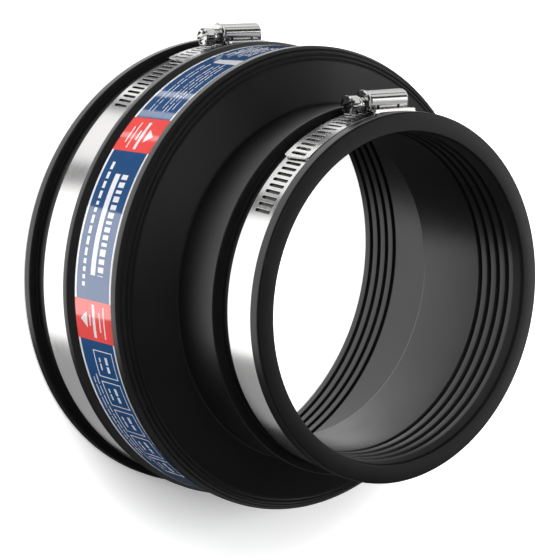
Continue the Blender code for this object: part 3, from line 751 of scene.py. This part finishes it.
def clamp_screw():
    """A screw along X from its journal to its head, and where the head ends."""
    sides = 48
    start, end = COVER_BACK + WORM_FROM, COVER_FRONT - WORM_TO
    collar = COVER_FRONT + MOUTH_LENGTH + BARE_NECK
    head = collar + COLLAR_LENGTH
    tip = head + HEX_LENGTH
    neck = WORM_ROOT + 0.2

    def worm(t, k):
        phase = ((t - start) / SLOT_PITCH - k / sides) % 1.0
        rise = min(1.0, max(0.0, min(phase / FLANK, (CREST_END - phase) / FLANK)))
        fade = min(1.0, (t - start) / RUN_OUT, (end - t) / RUN_OUT)
        return WORM_ROOT + (WORM_CREST - WORM_ROOT) * rise * max(0.0, fade)

    def hexagon(size, rounding):
        """Across-flats hexagon whose corners a cone has turned down to a radius."""
        flat = []
        for k in range(sides):
            off = (k * 360 / sides) % 60
            corner = size / 2 / math.cos(math.radians(off if off <= 30 else 60 - off))
            flat.append(min(corner, rounding))
        return flat

    def round_rows(*steps):
        return [(t, [r] * sides) for t, r in steps]

    journal_end = start - JOURNAL_LENGTH
    rows = round_rows((journal_end, JOURNAL_R - 0.4), (journal_end + 0.3, JOURNAL_R - 0.1),
                      (journal_end + 0.4, JOURNAL_R), (start, JOURNAL_R), (start, WORM_ROOT))
    count = int((end - start) / WORM_STEP)
    for i in range(1, count):
        t = start + (end - start) * i / count
        rows.append((t, [worm(t, k) for k in range(sides)]))
    rows += round_rows((end, WORM_ROOT), (end + 0.3, neck), (COVER_FRONT + 0.2, neck),
                       (COVER_FRONT + 0.3, THICK_NECK), (collar, THICK_NECK),
                       (collar, COLLAR_R - 0.25), (collar + 0.1, COLLAR_R - 0.08),
                       (collar + 0.3, COLLAR_R), (head - 0.3, COLLAR_R),
                       (head - 0.05, COLLAR_R - 0.2), (head, COLLAR_R - 0.3))
    rows.append((head, hexagon(HEX_SIZE - 0.2, HEX_CORNER - 0.1)))
    rows += [(t, hexagon(HEX_SIZE, HEX_CORNER))
             for t in (head + 0.12, head + 0.6, tip - HEX_CHAMFER)]
    for k in range(1, 7):
        f = k / 6
        rows.append((tip - HEX_CHAMFER * (1 - f),
                     hexagon(HEX_SIZE - 0.9 * f ** 3, HEX_CORNER - 0.55 * f ** 1.6)))
    turns = [2 * math.pi * k / sides for k in range(sides)]
    rings = [[(t, r * math.cos(a), r * math.sin(a)) for a, r in zip(turns, radii)]
             for t, radii in rows]
    return loft(rings), tip


for size, clamp in CLAMPS.items():
    bm, tip = clamp_screw()
    axis = worm_axis(clamp["seat"])
    bmesh.ops.translate(bm, vec=(0, -axis, clamp["middle"]), verts=bm.verts)
    screw = add_piece(size + "_worm_screw", bm, turned_steel, size + "_screw",
                      size + "_clamp_screw", crisp=20)
    blade = bmesh.new()
    bmesh.ops.create_cube(blade, size=1.0)
    bmesh.ops.scale(blade, vec=(2 * BLADE_DEPTH, 3 * HEX_SIZE, BLADE_SLOT), verts=blade.verts)
    bmesh.ops.rotate(blade, cent=(0, 0, 0), verts=blade.verts,
                     matrix=Matrix.Rotation(math.radians(BLADE_TURN), 3, "X"))
    bmesh.ops.translate(blade, vec=(tip, -axis, clamp["middle"]), verts=blade.verts)
    carve(screw, blade)

# Stage. A light table of white acrylic in a dark studio. Right under the part its glow is raised, a
# painted light that makes the bore show white. Round a chosen spot beside the part it is turned
# down, a painted shade in which the part's real soft shadow shows; farther out the glow is full and
# hides that shadow. Soft boxes under and round the table make the shines. Sizes here are in metres.
# The painted light under the part: its edge and strength. The painted shade: its middle, its edge,
# and the glow in it and farther out.
PAINTED_LIGHT_EDGE, PAINTED_LIGHT_GLOW = (0.086, 0.09), 0.7
PAINTED_SHADE_MIDDLE, PAINTED_SHADE_EDGE, PAINTED_SHADE_GLOW = (-0.03, 0.035, 0), (0.09, 0.155), (0.22, 1.05)
TABLE_SIZE, BACKDROP_R = 6.0, 5.6
ROOM_GLOW = 0.04
scene = bpy.context.scene
scene.view_settings.view_transform = "Standard"

# Sand-blasted white acrylic: matt and even, with a faint cloudiness of some 17 mm.
acrylic = new_finish("White acrylic light table")
place = add_node(acrylic, "TexCoord", {})
from_axis = add_node(acrylic, "VectorMath", {0: place.outputs["Object"]}, operation="LENGTH")
# Painted light: inside the bore's reach the glow is raised, so the floor seen through the bore
# shows white.
painted_light_under_part = add_node(acrylic, "MapRange", {"Value": from_axis.outputs["Value"],
                                            "From Min": PAINTED_LIGHT_EDGE[0], "From Max": PAINTED_LIGHT_EDGE[1],
                                            "To Min": PAINTED_LIGHT_GLOW, "To Max": 0.0})
# Painted shade: the glow is turned down round a chosen spot beside the part, so that the part's
# real soft shadow shows there and nowhere else.
from_painted_shade = add_node(acrylic, "VectorMath", {0: place.outputs["Object"], 1: PAINTED_SHADE_MIDDLE},
                      operation="DISTANCE")
painted_shade_and_far_glow = add_node(acrylic, "MapRange", {"Value": from_painted_shade.outputs["Value"],
                                          "From Min": PAINTED_SHADE_EDGE[0], "From Max": PAINTED_SHADE_EDGE[1],
                                          "To Min": PAINTED_SHADE_GLOW[0], "To Max": PAINTED_SHADE_GLOW[1]},
                    interpolation_type="SMOOTHSTEP")
glow = add_node(acrylic, "Math", {0: painted_light_under_part.outputs["Result"], 1: painted_shade_and_far_glow.outputs["Result"]},
                operation="ADD")
cloud = add_node(acrylic, "TexNoise", {"Vector": place.outputs["Object"], "Scale": 60.0,
                                       "Detail": 3.0})
pale = add_node(acrylic, "MixRGB", {"Fac": cloud.outputs["Fac"], "Color1": linear("f6f6f6"),
                                    "Color2": linear("fcfcfc")})
table = add_node(acrylic, "BsdfPrincipled", {"Base Color": pale.outputs["Color"], "Roughness": 0.9,
                                             "Emission Color": linear("ffffff"),
                                             "Emission Strength": glow.outputs["Value"]})
add_node(acrylic, "OutputMaterial", {"Surface": table.outputs["BSDF"]})


def stage_piece(name, bm, mat):
    """The table and the backdrop: seen by the camera, and out of the way of the lights."""
    mesh = bpy.data.meshes.new(name)
    bm.to_mesh(mesh)
    bm.free()
    mesh.materials.append(mat)
    piece = bpy.data.objects.new(name, mesh)
    bpy.context.collection.objects.link(piece)
    piece.visible_glossy = piece.visible_diffuse = piece.visible_shadow = False


bm = bmesh.new()
bmesh.ops.create_grid(bm, x_segments=8, y_segments=8, size=TABLE_SIZE)
stage_piece("studio_floor", bm, acrylic)

# White cotton cloth, evenly bright: no shine, and a faint painted shade of folds some 3 m across
# that hardly shows.
backdrop_white = new_finish("White backdrop cloth")
place = add_node(backdrop_white, "TexCoord", {})
painted_fold_shade = add_node(backdrop_white, "TexNoise", {"Vector": place.outputs["Object"], "Scale": 0.3,
                                              "Detail": 2.0})
lit = add_node(backdrop_white, "MixRGB", {"Fac": painted_fold_shade.outputs["Fac"],
                                          "Color1": linear("fafafa"),
                                          "Color2": linear("ffffff")})
cloth_glow = add_node(backdrop_white, "Emission", {"Color": lit.outputs["Color"],
                                                   "Strength": 1.0})
add_node(backdrop_white, "OutputMaterial", {"Surface": cloth_glow.outputs["Emission"]})
bm = bmesh.new()
bmesh.ops.create_uvsphere(bm, u_segments=48, v_segments=24, radius=BACKDROP_R)
stage_piece("studio_backdrop", bm, backdrop_white)

world = bpy.data.worlds.new("Studio")
world.use_nodes = True
room = world.node_tree.nodes["Background"]
room.inputs["Color"].default_value = linear("ffffff")
room.inputs["Strength"].default_value = ROOM_GLOW
scene.world = world


def lit_group(name, *words):
    """The pieces that a light is set for, found by a word in their names."""
    group = bpy.data.collections.new(name)
    for piece in bpy.data.objects:
        ours = piece.type == "MESH" and piece.name not in frame["nodes"]
        if ours and any(word in piece.name for word in words):
            group.objects.link(piece)
    return group


rubber_only = lit_group("lit_rubber", "rubber_sleeve")
film_only = lit_group("lit_film", "printed_band")
large_band_only = lit_group("lit_large_band", "large_band")
small_band_only = lit_group("lit_small_band", "small_band")
clamps_only = lit_group("lit_clamps", "_saddle", "_cover", "_worm_screw")
covers_only = lit_group("lit_covers", "_cover", "_worm_screw")
saddles_only = lit_group("lit_saddles", "_saddle")
faces_only = lit_group("lit_faces", "_saddle", "_cover", "large_worm_screw")
# The word "_band" finds the printed band as well as the clamps' bands.
plain_only = lit_group("lit_plain", "rubber_sleeve", "_band")
bright_only = lit_group("lit_bright", "_band")


def soft_box(name, glow, size, matrix, shines, lights, only=None):
    """A rectangular soft box of one brightness. It may show in shines only or light only, and
    may be set for some of the pieces only."""
    light = bpy.data.lights.new(name, "AREA")
    light.shape = "RECTANGLE"
    light.size, light.size_y = size
    light.energy = glow * math.pi * size[0] * size[1]
    box = bpy.data.objects.new(name, light)
    bpy.context.collection.objects.link(box)
    box.matrix_world = matrix
    box.visible_camera = False
    box.visible_glossy, box.visible_diffuse = shines, lights
    if only:
        box.light_linking.receiver_collection = only


def aimed(place, aim):
    """Stand at a place and look at a point."""
    turn = (Vector(aim) - Vector(place)).to_track_quat("-Z", "Y")
    return Matrix.Translation(place) @ turn.to_matrix().to_4x4()


def table_box(name, glow, heading, ahead, aside, only, shines=True, lights=False, depth=2.0):
    """A soft box under the table, facing up: how far it reaches ahead of and beside the part, for
    a heading counted from the -Y side towards +X."""
    a = math.radians(heading)
    middle = (Vector((math.sin(a), -math.cos(a), 0)) * sum(ahead) / 2
              + Vector((math.cos(a), math.sin(a), 0)) * sum(aside) / 2)
    middle.z = -depth
    soft_box(name, glow, (ahead[1] - ahead[0], aside[1] - aside[0]),
             Matrix.Translation(middle) @ Matrix.Rotation(a - math.pi / 2, 4, "Z")
             @ Matrix.Rotation(math.pi, 4, "X"), shines, lights, only)


# Where two boxes under the table overlap, the nearer one is the one that is seen.
table_box("under_light", 1.9, 27, (-0.35, 5.0), (-4.5, 4.5), None, shines=False, lights=True,
          depth=2.3)
table_box("rubber_shine", 1.6, 27, (-0.33, 4.0), (-4.0, 4.0), rubber_only, depth=1.9)
# The bands: a wide bright field, a grey gap, a second field that starts at the tail's end, and
# two bright strips over the dark field where the slots lie.
for band, lift, edge, gap, strip, half in (
        (large_band_only, 0.0, -0.78, (0.03, 0.36), -52.3, 0.123),
        (small_band_only, 0.1, -1.15, (-0.34, 0.12), -37.3, 0.132)):
    table_box("band_main", 2.0, 37, (-0.14, 4.0), (gap[1], 4.0), band, depth=2.0 - lift)
    table_box("band_gap", 0.2, 37, (0.3, 4.0), gap, band, depth=2.0 - lift)
    table_box("band_second", 1.45, 37, (0.3, 4.0), (edge, gap[0]), band, depth=2.0 - lift)
    table_box("band_dim", 0.14, 37, (-2.0, 4.0), (-4.0, edge), band, depth=2.0 - lift)
    table_box("band_strip", 1.8, strip, (0.9, 4.0), (-half, half), band, depth=1.99 - lift)
    table_box("band_tail", 2.0, -10.3, (0.9, 4.0), (-0.115, 0.115), band, depth=1.98 - lift)
    table_box("band_far", 0.42, 127, (-0.5, 4.0), (0.14, 1.55), band, depth=2.0 - lift)
# The film: one broad glare and three narrow ones.
table_box("film_glare", 3.5, 88.3, (0.8, 2.6), (-0.627, 0.627), film_only, depth=1.8)
for heading, half in ((-9.7, 0.052), (5.1, 0.054), (19.6, 0.035)):
    table_box("film_strip", 2.5, heading, (0.8, 2.6), (-half, half), film_only, depth=1.79)
# The clamps: bright fields with thin dark gaps between them.
table_box("cover_low", 0.8, -70, (0.9, 2.3), (-1.5, 1.5), clamps_only, depth=1.7)
table_box("cover_face", 1.4, 96, (0.9, 2.4), (-0.5, 0.5), faces_only, depth=1.6)
PART = (0, 0, 0.06)
for name, glow, size, place, aim, only in (
        ("cover_level", 0.75, (3.4, 2.4), (-2.12, -2.12, -0.8), (0, 0, -0.8), clamps_only),
        ("cover_high", 0.85, (3.4, 1.06), (-2.12, -2.12, 1.2), (0, 0, 1.2), clamps_only),
        ("cover_bright", 1.7, (1.15, 0.7), (-2.138, -0.494, 2.046), PART, clamps_only),
        ("cover_side", 0.5, (1.0, 1.5), (-1.98, 0.35, 2.23), PART, covers_only),
        ("cover_foot", 1.0, (1.1, 1.5), (-1.7, 1.14, 2.2), PART, covers_only),
        ("cover_front", 0.75, (3.2, 3.0), (0.9, -2.7, -0.3), (0, 0, -0.3), clamps_only),
        ("cover_over", 0.6, (2.0, 2.0), (0.3, 0.2, 3.0), PART, clamps_only),
        ("saddle_side", 0.95, (1.5, 1.5), (-1.871, 0.467, 2.298), PART, saddles_only),
        ("rear_box", 1.7, (2.0, 0.74), (-1.99, -0.17, 1.5), PART, plain_only),
        ("overhead", 0.5, (1.6, 1.2), (-0.5, -0.5, 2.5), PART, plain_only)):
    soft_box(name, glow, size, aimed(place, aim), shines=True, lights=False, only=only)
# Light that makes no shines: from above for the shadow, and from two sides to fill.
for name, glow, size, place in (("shadow_box", 16.0, (0.5, 0.5), (0.334, -0.301, 1.113)),
                                ("side_fill", 2.6, (0.8, 0.6), (1.35, -0.36, 0.35)),
                                ("back_fill", 4.0, (2.4, 0.7), (-1.5, 1.6, 0.4))):
    soft_box(name, glow, size, aimed(place, PART), shines=False, lights=True)
# Grey walls on all four sides, for the views from there.
WALL, WALL_Z = (6.0, 2.4), -0.35
for k in range(4):
    around = Matrix.Rotation(k * math.pi / 2, 4, "Z")
    for only, glow, away in ((rubber_only, 0.22, 3.0), (bright_only, 0.8, 3.1),
                             (clamps_only, 0.3, 3.3)):
        soft_box("wall", glow, WALL, around @ aimed((0, -away, WALL_Z), (0, 0, WALL_Z)),
                 shines=True, lights=False, only=only)

# Camera. The photograph's view: a long lens of 128.6 mm, some 0.85 m away, looking down into
# the small mouth from the +X side, with the clamps at the top of the picture.
camera_data = bpy.data.cameras.new("camera")
camera_data.lens, camera_data.sensor_width = 128.571, 36.0
camera = bpy.data.objects.new("camera", camera_data)
right, up, back = (-0.7783, -0.0004, 0.6279), (-0.1020, -0.9866, -0.1271), (0.6196, -0.1630, 0.7678)
camera.matrix_world = (Matrix.Translation((0.5010, -0.12615, 0.6661))
                       @ Matrix((right, up, back)).transposed().to_4x4())
bpy.context.collection.objects.link(camera)
scene.camera = camera
